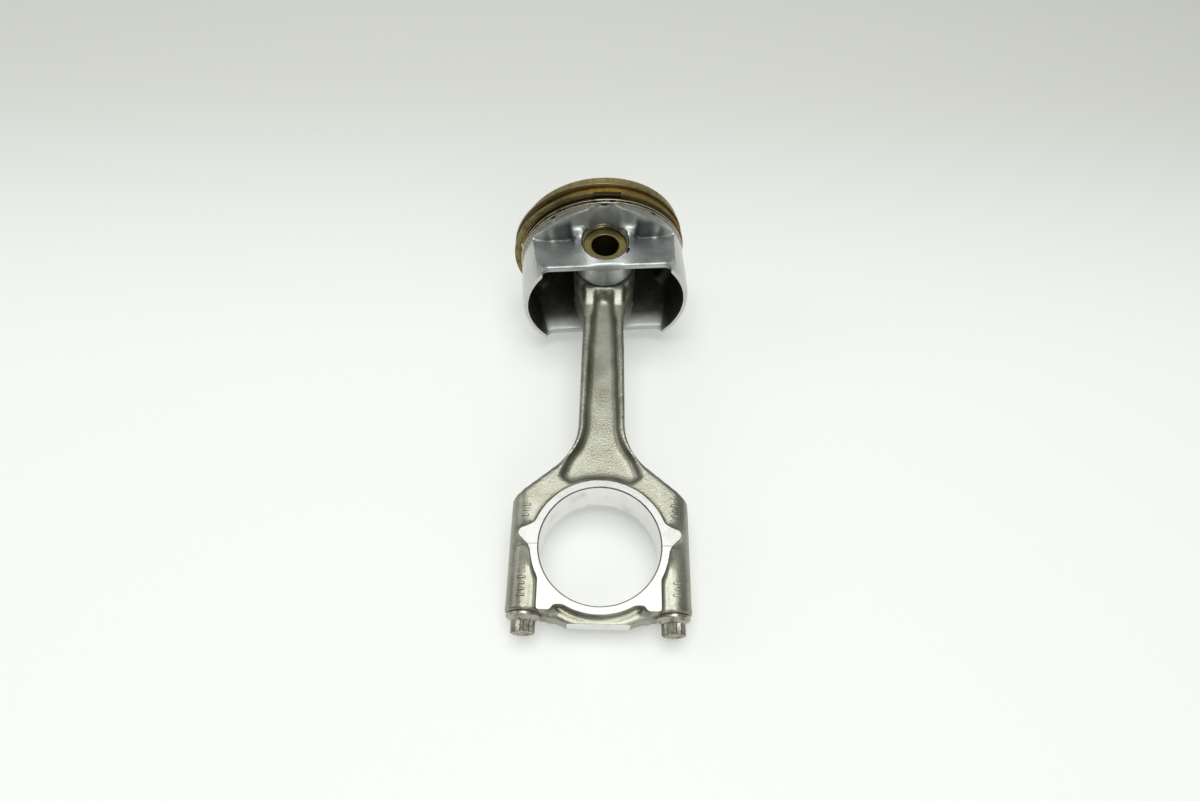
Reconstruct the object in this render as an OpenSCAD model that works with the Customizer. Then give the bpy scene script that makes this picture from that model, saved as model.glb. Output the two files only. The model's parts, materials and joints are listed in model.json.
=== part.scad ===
// Piston and connecting rod assembly lying on its side, crown end raised on its rings.
// Millimetres. Origin at the middle of the big end bore.
// +X to the right, +Y from the big end towards the crown, +Z up.

/* [Main sizes] */
// distance between the big end bore and the piston pin
rod_len = 154; // [130:0.5:180]
// piston skirt diameter
bore_d = 87.5; // [70:0.5:105]
// piston pin diameter
pin_d = 22.5; // [18:0.5:26]
// big end housing bore diameter
big_d = 53; // [40:0.5:62]
// width of the machined big end faces
big_w = 21.8; // [16:0.2:28]
// slope of the rod when the assembly lies on a flat floor
tilt = 9.5; // [0:0.1:15]
// swing of the piston about its pin, away from straight
swing = 4.5; // [-45:0.5:45]

/* [Piston] */
// pin axis to crown
comp_h = 30.2; // [24:0.1:40]
// pin axis to the lower end of the skirt
skirt_low = 19; // [14:0.5:30]
// sideways offset of the pin from the piston axis
pin_off = 0.3; // [0:0.1:1]
// diameter of the ring lands
land_d = 86.9; // [69:0.1:104]
// diameter at the bottom of the ring grooves
root_d = 79; // [62:0.5:96]
// wall of the skirt
skirt_wall = 2.8; // [2:0.1:5]
// distance from the middle to the outer face of a pin boss
boss_out = 29.4; // [22:0.2:36]
// distance from the middle to the inner face of a pin boss
boss_in = 11.3; // [8:0.1:15]
// radius of the pin bosses
boss_r = 15.3; // [13:0.1:15.5]

/* [Rings] */
// axial width of the compression rings
ring_w = 1.2; // [1:0.1:2]
// relaxed outer radius of the compression rings
ring_r = 45.8; // [44:0.1:48]
// radial thickness of the compression rings
ring_t = 3.2; // [2.4:0.1:4]
// open gap of the relaxed compression rings
ring_gap = 14; // [1:0.5:18]
// top of the first ring groove above the pin axis
groove_1 = 24.2; // [20:0.1:34]
// top of the second ring groove above the pin axis
groove_2 = 17.2; // [12:0.1:28]
// top of the oil ring groove above the pin axis
groove_3 = 14.5; // [9:0.1:24]
// width of the oil ring groove
oil_w = 2.5; // [2:0.1:4]

/* [Connecting rod] */
// half width of the shank
shank_w = 10.6; // [8:0.1:14]
// thickness of the shank flanges
shank_t = 16; // [10:0.5:20]
// thickness of the web between the flanges
web_t = 4.6; // [3:0.1:8]
// radius of the small end eye
eye_r = 16.4; // [14:0.1:20]
// width of the small end eye
eye_w = 20.6; // [16:0.2:22]
// wall of the small end bush
bush_t = 1.4; // [0.8:0.1:2.5]
// outer radius of the machined ring around the big end
face_r = 30.2; // [28:0.1:36]
// distance from the middle to each cap bolt
bolt_x = 31.9; // [28:0.1:38]
// radius of the bolt bosses
bolt_boss_r = 8.2; // [6:0.1:10]
// split line to the bolt seats
seat_y = 27.8; // [22:0.1:34]
// bolt shank radius
bolt_r = 4; // [3:0.1:5]
// radius of the bolt flange
flange_r = 7.4; // [6.4:0.1:8]
// width across two opposite flats of the bolt head
head_w = 7.7; // [7:0.1:8.5]
// height of the bolt head above its flange
head_h = 6.2; // [5:0.1:9]

/* [Hidden] */
$fn = 96;
gap = 0.03;          // running clearance on a radius
play = 0.05;         // running clearance beside a ring
rail_w = 0.45;
bore_r = bore_d/2;
land_r = land_d/2;
root_r = root_d/2;
pin_r = pin_d/2;
big_r = big_d/2;
pin_half = 26;
clip_y = 27.1;
clip_wire = 0.75;
clip_ring = 11.55;
ring_1_x = -1.26;
ring_1_z = 0.1;
ring_2_x = -1.45;
ring_2_z = 1;
web_floor = web_t/2;
web_top = rod_len - eye_r - 0.4;   // upper end of the hollow between the flanges
flange_h = 2;
bolt_end = 16.5;       // end of the bolt above the split line
wall_low = -15.7;     // lower edge of the piston side walls
pad_w = 16;           // half width of the pad above a pin boss
rib_out = 31.5;       // outer end of the ribs beside the pad

// which sub-part to draw

// ---- places ------------------------------------------------------------

// rod frame: bore axis along Z, crown towards +Y
module rod_place() rotate([tilt, 0, 0]) children();

// piston frame: pin axis along Z, piston axis along Y
module piston_place()
    rod_place() translate([0, rod_len, 0]) rotate([0, 0, swing]) translate([-pin_off, 0, 0]) children();

// stands a shape drawn around Z on the piston axis
module on_axis() rotate([-90, 0, 0]) children();

// both ends of the pin axis
module both_ends() for (m = [0, 1]) mirror([0, 0, m]) children();

// left and right
module both_sides() for (m = [0, 1]) mirror([m, 0, 0]) children();

// plain round bar along Y
module bar_y(r, y0, y1) translate([0, y0, 0]) rotate([-90, 0, 0]) cylinder(r = r, h = y1 - y0);

// cylinder with both edges broken
module soft_bar(r, h, c)
    rotate_extrude() polygon([[0, -h/2], [r - c, -h/2], [r, -h/2 + c], [r, h/2 - c], [r - c, h/2], [0, h/2]]);

// ---- piston ------------------------------------------------------------

// solid of revolution of the ring belt, grooves cut in
module ring_belt() on_axis() rotate_extrude()
    polygon([[0, 5.2], [land_r, 5.2],
             [land_r, groove_3 - oil_w], [root_r, groove_3 - oil_w], [root_r, groove_3], [land_r, groove_3],
             [land_r, groove_2 - ring_w - 2*play], [root_r, groove_2 - ring_w - 2*play],
             [root_r, groove_2], [land_r, groove_2],
             [land_r, 19.7], [land_r - 0.5, 20], [land_r, 20.3],
             [land_r, groove_1 - ring_w - 2*play], [root_r, groove_1 - ring_w - 2*play],
             [root_r, groove_1], [land_r, groove_1],
             [land_r, comp_h - 0.6], [land_r - 0.6, comp_h], [0, comp_h]]);

// full round of the skirts, a little fuller than the lands
module skirt_block() on_axis() rotate_extrude()
    polygon([[0, -skirt_low], [bore_r - 0.9, -skirt_low], [bore_r - 0.15, -skirt_low + 3],
             [bore_r, -6], [bore_r - 0.1, 6], [land_r + 0.05, 11], [0, 11]]);

// long bar across the piston with a section drawn as [height along the axis, distance to the side]
module side_bar(section) translate([-50, 0, 0]) rotate([90, 0, 90]) linear_extrude(height = 100)
    polygon(section);

// hollow inside of the piston, open downwards
module hollow() difference() {
    intersection() {
        on_axis() rotate_extrude()
            polygon([[0, -skirt_low - 1], [bore_r - skirt_wall, -skirt_low - 1],
                     [bore_r - skirt_wall, 0], [bore_r - skirt_wall - 1.6, 8],
                     [35.2, 12], [34.6, 19], [31, 22.8], [0, 22.8]]);
        side_bar([[23.5, 14.5], [9.5, 18.2], [-skirt_low - 2, 26.6],
                  [-skirt_low - 2, -26.6], [9.5, -18.2], [23.5, -14.5]]);
    }
    both_ends() translate([0, 0, boss_in]) cylinder(r = boss_r, h = 40);
    both_ends() translate([-11, 0, boss_in]) cube([22, 30, 30]);
}

// arch under the side walls between boss and skirt
module wall_arch() both_ends() both_sides()
    translate([0, 0, 10]) linear_extrude(height = 40)
        polygon([[-1, -skirt_low - 1], [-1, wall_low], [29, wall_low], [31.5, wall_low - 1.2],
                 [32.2, -skirt_low - 1]]);

// outline of a pin boss and of the pad above it, flat
module boss_outline() {
    circle(r = boss_r);
    translate([-pad_w, 5]) square([2*pad_w, 5]);
}

// everything outside the sloping side walls, up to the curved edge of the lowest land
module side_recess() both_ends() difference() {
    intersection() {
        translate([0, 0, 20]) linear_extrude(height = 30)
            polygon([[-46, -30], [46, -30], [46, 11], [36.5, 10], [33, 8], [27.5, 5.4], [18, 7], [8, 8.8],
                     [-8, 8.8], [-18, 7], [-27.5, 5.4], [-33, 8], [-36.5, 10], [-46, 11]]);
        side_bar([[14, 21.1], [-skirt_low - 2, 30.35], [-skirt_low - 2, 60], [14, 60]]);
    }
    linear_extrude(height = boss_out) boss_outline();
    both_sides() translate([11, 5, 0]) cube([pad_w - 11, 15, rib_out]);
}

// dark pockets that run up behind the lowest land
module belt_pocket() both_ends() both_sides()
    translate([16.6, 8.5, 22]) cube([10, 9.5, 8]);

// clearance that lets the pin in past the lowest land
module pin_relief() both_ends() rotate_extrude()
    polygon([[0, boss_out - 1], [pin_r + 0.2, boss_out - 1], [pin_r + 1.1, boss_out - 0.1],
             [pin_r + 1.1, 60], [0, 60]]);

// groove and removal notch for a circlip
module clip_groove() both_ends() {
    translate([0, 0, clip_y]) rotate_extrude() translate([clip_ring, 0]) circle(r = clip_wire + gap, $fn = 32);
    rotate([0, 0, -31]) translate([pin_r - 1.5, -1.8, clip_y - 1.1]) cube([3.6, 3.6, 5]);
}

// small slots that let oil out of the lowest groove
module oil_drains() for (a = [-144, -36, 36, 144]) on_axis() rotate([0, 0, a + 90])
    translate([root_r - 5, -1.8, groove_3 - oil_w - 1.3]) cube([10, 3.6, 1.6]);

module piston() color([0.72, 0.73, 0.74]) piston_place() difference() {
    union() {
        ring_belt();
        skirt_block();
    }
    hollow();
    side_recess();
    wall_arch();
    belt_pocket();
    oil_drains();
    translate([pin_off, 0, 0]) {
        pin_relief();
        clip_groove();
        translate([0, 0, -50]) cylinder(r = pin_r + gap, h = 100);
    }
}

// ---- rings -------------------------------------------------------------

// open ring: mid height y, outer radius, thickness, width, gap and where the gap faces
module open_ring(y, r, t, w, g, a) on_axis() translate([0, 0, y]) rotate([0, 0, a]) difference() {
    soft_bar(r, w, 0.12);
    translate([0, 0, -w]) cylinder(r = r - t, h = 2*w);
    translate([0, -g/2, -w]) cube([r + 5, g, 2*w]);
}

module top_ring() color([0.42, 0.40, 0.36]) piston_place() translate([ring_1_x, 0, ring_1_z])
    open_ring(groove_1 - play - ring_w/2, ring_r, ring_t, ring_w, ring_gap, 122);

module second_ring() color([0.50, 0.44, 0.30]) piston_place() translate([ring_2_x, 0, ring_2_z])
    open_ring(groove_2 - play - ring_w/2, ring_r + 0.2, ring_t, ring_w, ring_gap, -85.5);

module oil_rail(y, a) open_ring(y, bore_r + 0.25, 2.5, rail_w, 3.5, a);

module oil_rail_upper() color([0.55, 0.56, 0.56]) piston_place() oil_rail(groove_3 - play - rail_w/2, 160);

module oil_rail_lower() color([0.55, 0.56, 0.56]) piston_place()
    oil_rail(groove_3 - oil_w + play + rail_w/2, 75);

// crimped strip between the two rails
module oil_expander() color([0.45, 0.46, 0.46]) piston_place() {
    h = oil_w - 2*rail_w - 4*play;
    on_axis() translate([0, 0, groove_3 - oil_w/2]) difference() {
        cylinder(r = bore_r - 0.9, h = h, center = true);
        cylinder(r = bore_r - 2.6, h = 2*h, center = true);
        for (k = [0:29]) rotate([0, 0, 12*k]) {
            translate([bore_r - 4, -1.6, 0.35 - h/2]) cube([5, 3.2, h]);
            rotate([0, 0, 6]) translate([bore_r - 4, -1.6, -0.35 - h/2]) cube([5, 3.2, h]);
        }
        rotate([0, 0, 90]) translate([bore_r - 4, -0.2, -h]) cube([5, 0.4, 2*h]);
    }
}

// ---- pin and circlips --------------------------------------------------

module piston_pin() color([0.50, 0.46, 0.34]) piston_place() translate([pin_off, 0, 0]) difference() {
    soft_bar(pin_r, 2*pin_half, 0.5);
    translate([0, 0, -pin_half - 1]) cylinder(r = 7, h = 2*pin_half + 2);
    both_ends() translate([0, 0, pin_half - 0.3]) cylinder(r1 = 7, r2 = 7.31, h = 0.31);
}

// round wire snap ring with a gap
module circlip(m) piston_place() translate([pin_off, 0, 0]) mirror([0, 0, m]) translate([0, 0, clip_y])
    rotate([0, 0, 90]) rotate_extrude(angle = 330) translate([clip_ring, 0])
        circle(r = clip_wire, $fn = 32);

module circlip_upper() color([0.30, 0.29, 0.27]) circlip(0);
module circlip_lower() color([0.30, 0.29, 0.27]) circlip(1);

// ---- connecting rod ----------------------------------------------------

// outline of shank and shoulders, flat
module rod_outline() difference() {
    polygon([[-40, 0], [-39.6, 22.4], [-38.2, 24.2], [-36.3, 25.4], [-23.2, 36.6], [-11, 60.8],
             [-shank_w, 104], [-10, 130], [-10, 146], [10, 146], [10, 130],
             [shank_w, 104], [11, 60.8], [23.2, 36.6], [36.3, 25.4], [38.2, 24.2], [39.6, 22.4], [40, 0]]);
    both_sides() translate([41, 60.8]) circle(r = 30);
}

// hollow between the shank flanges, flat
module web_outline() difference() {
    union() {
        translate([0, web_top - 5]) circle(r = 5);
        polygon([[-5, web_top - 5], [-5.7, 122], [-6.5, 104], [-7.8, 64], [-16.6, 38.5], [-18.5, 34], [0, 20],
                 [18.5, 34], [16.6, 38.5], [7.8, 64], [6.5, 104], [5.7, 122], [5, web_top - 5]]);
    }
    circle(r = 33.4);
    both_sides() translate([33.8, 61.5]) circle(r = 26);
}

// machined pads beside the ring, flat: an ear each side and a wide foot with a lobed lower edge
module face_pads() difference() {
    both_sides() {
        translate([33, 5]) circle(r = 2.6);
        polygon([[0, 9.6], [29.2, 9.6], [33.2, 7.5], [35.2, 3.6], [31, -0.6], [29, -5], [0, -5]]);
        translate([0, -28.4]) square([26.3, 13.6]);
    }
    both_sides() translate([17, -30.2]) circle(r = 4);
    translate([-17, -34.2]) square([34, 8]);
}

// raised machined ring and its pads between two heights along the rod
module big_end_face(y0, y1) intersection() {
    union() {
        cylinder(r = face_r, h = big_w, center = true);
        linear_extrude(height = big_w, center = true) face_pads();
    }
    translate([-60, y0, -20]) cube([120, y1 - y0, 40]);
}

// forged body of the big end between two heights along the rod
module big_end_body(y0, y1) {
    both_sides() translate([bolt_x, 0, 0]) bar_y(bolt_boss_r, y0, y1);
    intersection() {
        union() {
            translate([0, 0, -8]) cylinder(r = 31.5, h = 16);
            translate([-bolt_x, -50, -7.6]) cube([2*bolt_x, 72, 15.2]);
        }
        translate([-60, y0, -20]) cube([120, y1 - y0, 40]);
    }
}

// housing bore with broken edges
module big_bore() {
    translate([0, 0, -20]) cylinder(r = big_r, h = 40);
    both_ends() translate([0, 0, big_w/2 - 0.5]) cylinder(r1 = big_r, r2 = big_r + 0.52, h = 0.51);
}

// the outer flanks of the shoulders follow the round bolt bosses
module rod_forging() intersection() {
    linear_extrude(height = shank_t, center = true) rod_outline();
    union() {
        translate([-bolt_x, -1, -10]) cube([2*bolt_x, 180, 20]);
        both_sides() translate([bolt_x, 0, 0]) bar_y(bolt_boss_r, -1, 40);
    }
}

module connecting_rod() color([0.50, 0.49, 0.44]) rod_place() difference() {
    union() {
        rod_forging();
        big_end_face(0, 60);
        big_end_body(0, 22.4);
        translate([0, rod_len, 0]) soft_bar(eye_r, eye_w, 0.8);
    }
    both_ends() translate([0, 0, web_floor]) linear_extrude(height = 20) web_outline();
    big_bore();
    translate([0, rod_len, -20]) cylinder(r = pin_r + gap + bush_t, h = 40);
    both_sides() translate([bolt_x, 0, 0]) bar_y(bolt_r, -1, 18);
    // small oil hole into the eye
    translate([0, rod_len, 0]) bar_y(1.5, 10, 20);
}

module small_end_bush() color([0.62, 0.47, 0.24]) rod_place() translate([0, rod_len, 0]) difference() {
    cylinder(r = pin_r + gap + bush_t, h = eye_w, center = true);
    cylinder(r = pin_r + gap, h = eye_w + 2, center = true);
    bar_y(1.5, 8, 20);
}

// lower edge of the cap between the bolts, with a flat pad in the middle
module cap_rib() linear_extrude(height = 11, center = true)
    polygon([[-23.4, -20], [-23.4, -29.6], [-21.6, -30.6], [-18.6, -30.6], [-11, -32.6], [11, -32.6],
             [18.6, -30.6], [21.6, -30.6], [23.4, -29.6], [23.4, -20]]);

module rod_cap() color([0.50, 0.49, 0.44]) rod_place() difference() {
    union() {
        big_end_face(-34, 0);
        big_end_body(-seat_y, 0);
        cap_rib();
    }
    big_bore();
    both_sides() translate([bolt_x, 0, 0]) {
        bar_y(bolt_r + 0.4, -40, 1);
        bar_y(flange_r + 0.3, -40, -seat_y);
    }
}

// flange bolt with a twelve point head: three squares, each turned on from the last
module cap_bolt() {
    bar_y(bolt_r, -seat_y, bolt_end);
    translate([0, -seat_y, 0]) rotate([90, 0, 0]) rotate_extrude()
        polygon([[0, 0], [flange_r, 0], [flange_r, flange_h - 0.5], [flange_r - 0.5, flange_h],
                 [6.4, flange_h], [5.2, flange_h + 1.2], [0, flange_h + 1.2]]);
    translate([0, -seat_y - flange_h, 0]) rotate([90, 0, 0]) {
        cylinder(r = 4.6, h = head_h);
        for (a = [0, 30, 60]) rotate([0, 0, a]) translate([-head_w/2, -head_w/2, 0])
            cube([head_w, head_w, head_h]);
    }
}

module cap_bolt_left() color([0.24, 0.21, 0.17]) rod_place() translate([-bolt_x, 0, 0]) cap_bolt();
module cap_bolt_right() color([0.24, 0.21, 0.17]) rod_place() translate([bolt_x, 0, 0]) cap_bolt();

// ---- drawing -----------------------------------------------------------

piston();
top_ring();
second_ring();
oil_rail_upper();
oil_expander();
oil_rail_lower();
piston_pin();
circlip_upper();
circlip_lower();
connecting_rod();
small_end_bush();
rod_cap();
cap_bolt_left();
cap_bolt_right();
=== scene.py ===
"""Surfaces, light and camera for an engine piston lying on its side with its connecting rod.

The rod forging and the piston casting are made the way the real ones are: rough stock with soft
edges first, then the machined faces cut out of it. Rings, pin, circlips and bush keep their exact
shapes.
"""

import json
import logging
import math
from dataclasses import dataclass
from enum import Enum
from typing import Callable, Iterable, Optional, Sequence, Union

import bmesh
import bpy
from mathutils import Matrix, Vector
from mathutils.bvhtree import BVHTree


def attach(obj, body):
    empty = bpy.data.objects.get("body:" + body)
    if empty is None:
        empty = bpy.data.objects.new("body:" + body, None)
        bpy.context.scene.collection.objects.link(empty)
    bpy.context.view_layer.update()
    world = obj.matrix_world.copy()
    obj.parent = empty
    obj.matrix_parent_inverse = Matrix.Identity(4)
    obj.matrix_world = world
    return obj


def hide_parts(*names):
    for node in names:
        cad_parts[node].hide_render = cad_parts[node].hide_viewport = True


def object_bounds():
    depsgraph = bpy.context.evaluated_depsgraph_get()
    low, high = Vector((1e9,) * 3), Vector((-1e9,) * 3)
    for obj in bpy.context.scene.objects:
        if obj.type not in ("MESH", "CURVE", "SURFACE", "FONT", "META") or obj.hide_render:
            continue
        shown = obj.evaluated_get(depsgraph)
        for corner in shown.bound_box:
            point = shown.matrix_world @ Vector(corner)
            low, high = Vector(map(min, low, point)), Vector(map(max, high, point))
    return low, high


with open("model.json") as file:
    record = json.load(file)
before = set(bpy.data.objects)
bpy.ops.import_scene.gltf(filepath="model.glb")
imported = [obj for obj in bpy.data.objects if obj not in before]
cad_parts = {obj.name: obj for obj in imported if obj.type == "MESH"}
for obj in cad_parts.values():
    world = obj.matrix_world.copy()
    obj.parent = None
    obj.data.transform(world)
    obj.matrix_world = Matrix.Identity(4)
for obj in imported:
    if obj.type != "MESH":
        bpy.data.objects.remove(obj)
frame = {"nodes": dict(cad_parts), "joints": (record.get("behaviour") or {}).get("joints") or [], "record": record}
CAD_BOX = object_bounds()

LOG = logging.getLogger("piston")
MM = 0.001
SHARP = math.radians(32)

Colour = tuple[float, float, float]
Triple = tuple[float, float, float]
Operand = Union["Signal", float]


# ---- places ----------------------------------------------------------------


@dataclass(frozen=True)
class Place:
    """A local frame of the object, in metres in the shared frame.

    Attributes:
        origin: Where the local origin lies.
        x: Local X direction.
        y: Local Y direction.
        z: Local Z direction.
    """

    origin: Vector
    x: Vector
    y: Vector
    z: Vector

    def matrix(self) -> Matrix:
        """Returns the matrix from local millimetres to the shared frame."""
        turn = Matrix((self.x, self.y, self.z)).transposed().to_4x4()
        return Matrix.Translation(self.origin) @ turn @ Matrix.Scale(MM, 4)


def joint_axis(name: str) -> tuple[Vector, Vector]:
    """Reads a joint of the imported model.

    Args:
        name: The joint's name.

    Returns:
        A point on its axis and the axis direction.
    """
    joint = next(j for j in frame["joints"] if j["name"] == name)
    return Vector(joint["pos_m"]), Vector(joint["axis"]).normalized()


def rod_place() -> Place:
    """Returns the rod's frame: Z along the big end bore, Y towards the pin."""
    pin, bore_axis = joint_axis("piston_swing")
    along = (pin - bore_axis * pin.dot(bore_axis)).normalized()
    return Place(Vector((0, 0, 0)), along.cross(bore_axis), along, bore_axis)


def piston_place() -> Place:
    """Returns the piston's frame: Z along the pin, Y along the cylinder towards the crown."""
    pin, pin_axis = joint_axis("piston_swing")
    mount = next(m for m in frame["record"]["mounts"] if m["name"] == "cylinder_fit")
    along = Vector(mount["axis"]).normalized()
    side = along.cross(pin_axis).normalized()
    offset = (Vector(mount["pos_m"]) - pin).dot(side)
    return Place(pin + side * offset, side, along, side.cross(along))


ROD = rod_place()
PISTON = piston_place()


# ---- shader graph ----------------------------------------------------------


class Signal:
    """One shader output that takes part in plain arithmetic."""

    def __init__(self, graph: "Graph", socket: bpy.types.NodeSocket) -> None:
        """Wraps a socket of a graph."""
        self.graph = graph
        self.socket = socket

    def __add__(self, other: Operand) -> "Signal":
        """Returns self + other."""
        return self.graph.math("ADD", self, other)

    def __radd__(self, other: Operand) -> "Signal":
        """Returns other + self."""
        return self.graph.math("ADD", other, self)

    def __sub__(self, other: Operand) -> "Signal":
        """Returns self - other."""
        return self.graph.math("SUBTRACT", self, other)

    def __rsub__(self, other: Operand) -> "Signal":
        """Returns other - self."""
        return self.graph.math("SUBTRACT", other, self)

    def __mul__(self, other: Operand) -> "Signal":
        """Returns self * other."""
        return self.graph.math("MULTIPLY", self, other)

    def __rmul__(self, other: Operand) -> "Signal":
        """Returns other * self."""
        return self.graph.math("MULTIPLY", other, self)

    def __truediv__(self, other: Operand) -> "Signal":
        """Returns self / other."""
        return self.graph.math("DIVIDE", self, other)

    def __abs__(self) -> "Signal":
        """Returns the size of self."""
        return self.graph.math("ABSOLUTE", self)

    def between(self, low: float, high: float) -> "Signal":
        """Rises smoothly from 0 at low to 1 at high, or falls where low is the larger.

        Args:
            low: The value that gives 0.
            high: The value that gives 1.

        Returns:
            The blend between 0 and 1.
        """
        settings = {"interpolation_type": "SMOOTHSTEP"}
        return self.graph.node("ShaderNodeMapRange", settings,
                               {"Value": self, "From Min": low, "From Max": high})


class Graph:
    """The node tree of one material under construction."""

    def __init__(self, name: str) -> None:
        """Starts an empty material.

        Args:
            name: The material's name.
        """
        self.material = bpy.data.materials.new(name)
        self.material.use_nodes = True
        self.tree = self.material.node_tree
        self.tree.nodes.clear()

    def node(self, kind: str, settings: dict, inputs: dict, out: Union[int, str] = 0) -> Signal:
        """Adds a node.

        Args:
            kind: The node's type.
            settings: Its options, set first; "stops" fills a colour ramp.
            inputs: Values or signals for its sockets, by name or identifier.
            out: The output that is wanted.

        Returns:
            That output.
        """
        made = self.tree.nodes.new(kind)
        for key, value in settings.items():
            if key == "stops":
                self._fill_ramp(made.color_ramp, value)
            else:
                setattr(made, key, value)
        for key, value in inputs.items():
            socket = self._socket(made, key)
            if isinstance(value, Signal):
                self.tree.links.new(value.socket, socket)
            else:
                socket.default_value = value
        if isinstance(out, str):
            return Signal(self, next(o for o in made.outputs if out in (o.identifier, o.name)))
        return Signal(self, made.outputs[out])

    @staticmethod
    def _socket(made: bpy.types.Node, key: str) -> bpy.types.NodeSocket:
        """Returns the input of a node with that identifier or name."""
        exact = [s for s in made.inputs if s.identifier == key]
        return (exact or [s for s in made.inputs if s.name == key])[0]

    @staticmethod
    def _fill_ramp(ramp: bpy.types.ColorRamp, stops: Sequence[tuple[float, Colour]]) -> None:
        """Sets a colour ramp's stops.

        Args:
            ramp: The ramp.
            stops: Position and colour of each stop.
        """
        while len(ramp.elements) < len(stops):
            ramp.elements.new(0.5)
        for element, (position, colour) in zip(ramp.elements, stops):
            element.position = position
            element.color = (*colour, 1.0)

    def math(self, operation: str, a: Operand, b: Optional[Operand] = None) -> Signal:
        """Adds a Math node for an operation on one or two values."""
        inputs = {"Value": a} if b is None else {"Value": a, "Value_001": b}
        return self.node("ShaderNodeMath", {"operation": operation}, inputs)

    def local(self, place: Place) -> Signal:
        """Returns the position on the surface, in a place's own millimetres.

        Args:
            place: The place.

        Returns:
            The position.
        """
        point = self.node("ShaderNodeTexCoord", {}, {}, "Object")
        turn = place.matrix().to_euler()
        return self.node("ShaderNodeMapping", {"vector_type": "TEXTURE"},
                         {"Vector": point, "Location": place.origin, "Rotation": turn,
                          "Scale": (MM, MM, MM)})

    def parts(self, vector: Signal) -> tuple[Signal, Signal, Signal]:
        """Returns the three components of a vector."""
        first = self.node("ShaderNodeSeparateXYZ", {}, {"Vector": vector}, "X")
        outputs = first.socket.node.outputs
        return first, Signal(self, outputs["Y"]), Signal(self, outputs["Z"])

    def vector(self, x: Operand, y: Operand, z: Operand) -> Signal:
        """Returns a vector from three components."""
        return self.node("ShaderNodeCombineXYZ", {}, {"X": x, "Y": y, "Z": z})

    def radius(self, a: Signal, b: Signal) -> Signal:
        """Returns the distance from the axis where a and b are 0."""
        return self.math("SQRT", a * a + b * b)

    def noise(self, vector: Signal, scale: float, detail: float = 4.0,
              rough: float = 0.55) -> Signal:
        """Returns cloudy noise from 0 to 1.

        Args:
            vector: Where it is read.
            scale: Cells per unit.
            detail: Octaves of finer noise.
            rough: Strength of the finer octaves.

        Returns:
            The noise value.
        """
        return self.node("ShaderNodeTexNoise", {},
                         {"Vector": vector, "Scale": scale, "Detail": detail, "Roughness": rough})

    def dimples(self, vector: Signal, scale: float) -> Signal:
        """Returns rounded dimples of a shot-blasted skin, 0 in the middle of each."""
        return self.node("ShaderNodeTexVoronoi", {"feature": "SMOOTH_F1"},
                         {"Vector": vector, "Scale": scale, "Smoothness": 0.6}, "Distance")

    def mix(self, factor: Operand, low: Union[Colour, Signal],
            high: Union[Colour, Signal]) -> Signal:
        """Mixes two colours.

        Args:
            factor: The share of the second colour.
            low: Colour at factor 0.
            high: Colour at factor 1.

        Returns:
            The mixed colour.
        """
        ends = [c if isinstance(c, Signal) else (*c, 1.0) for c in (low, high)]
        return self.node("ShaderNodeMix", {"data_type": "RGBA"},
                         {"Factor_Float": factor, "A_Color": ends[0], "B_Color": ends[1]},
                         "Result_Color")

    def ramp(self, factor: Signal, stops: Sequence[tuple[float, Colour]]) -> Signal:
        """Returns a colour from a ramp of stops."""
        return self.node("ShaderNodeValToRGB", {"stops": stops}, {"Fac": factor})

    def bump(self, height: Signal, strength: float, depth: float, edge: float = 0.25) -> Signal:
        """Returns a normal with relief, over edges that look slightly broken.

        Args:
            height: Relief from 0 to 1.
            strength: How much of it counts.
            depth: Height of the relief in millimetres.
            edge: Radius of the broken edges in millimetres.

        Returns:
            The normal.
        """
        broken = self.node("ShaderNodeBevel", {"samples": 4}, {"Radius": edge * MM})
        return self.node("ShaderNodeBump", {},
                         {"Strength": strength, "Distance": depth * MM, "Height": height,
                          "Normal": broken})

    def finish(self, inputs: dict) -> bpy.types.Material:
        """Ends the material with a Principled shader.

        Args:
            inputs: The shader's sockets.

        Returns:
            The material.
        """
        colour = inputs.get("Base Color")
        if isinstance(colour, tuple):
            inputs = {**inputs, "Base Color": (*colour, 1.0)}
        shader = self.node("ShaderNodeBsdfPrincipled", {}, inputs)
        output = self.tree.nodes.new("ShaderNodeOutputMaterial")
        self.tree.links.new(shader.socket, output.inputs["Surface"])
        return self.material


# ---- finishes --------------------------------------------------------------


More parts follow.
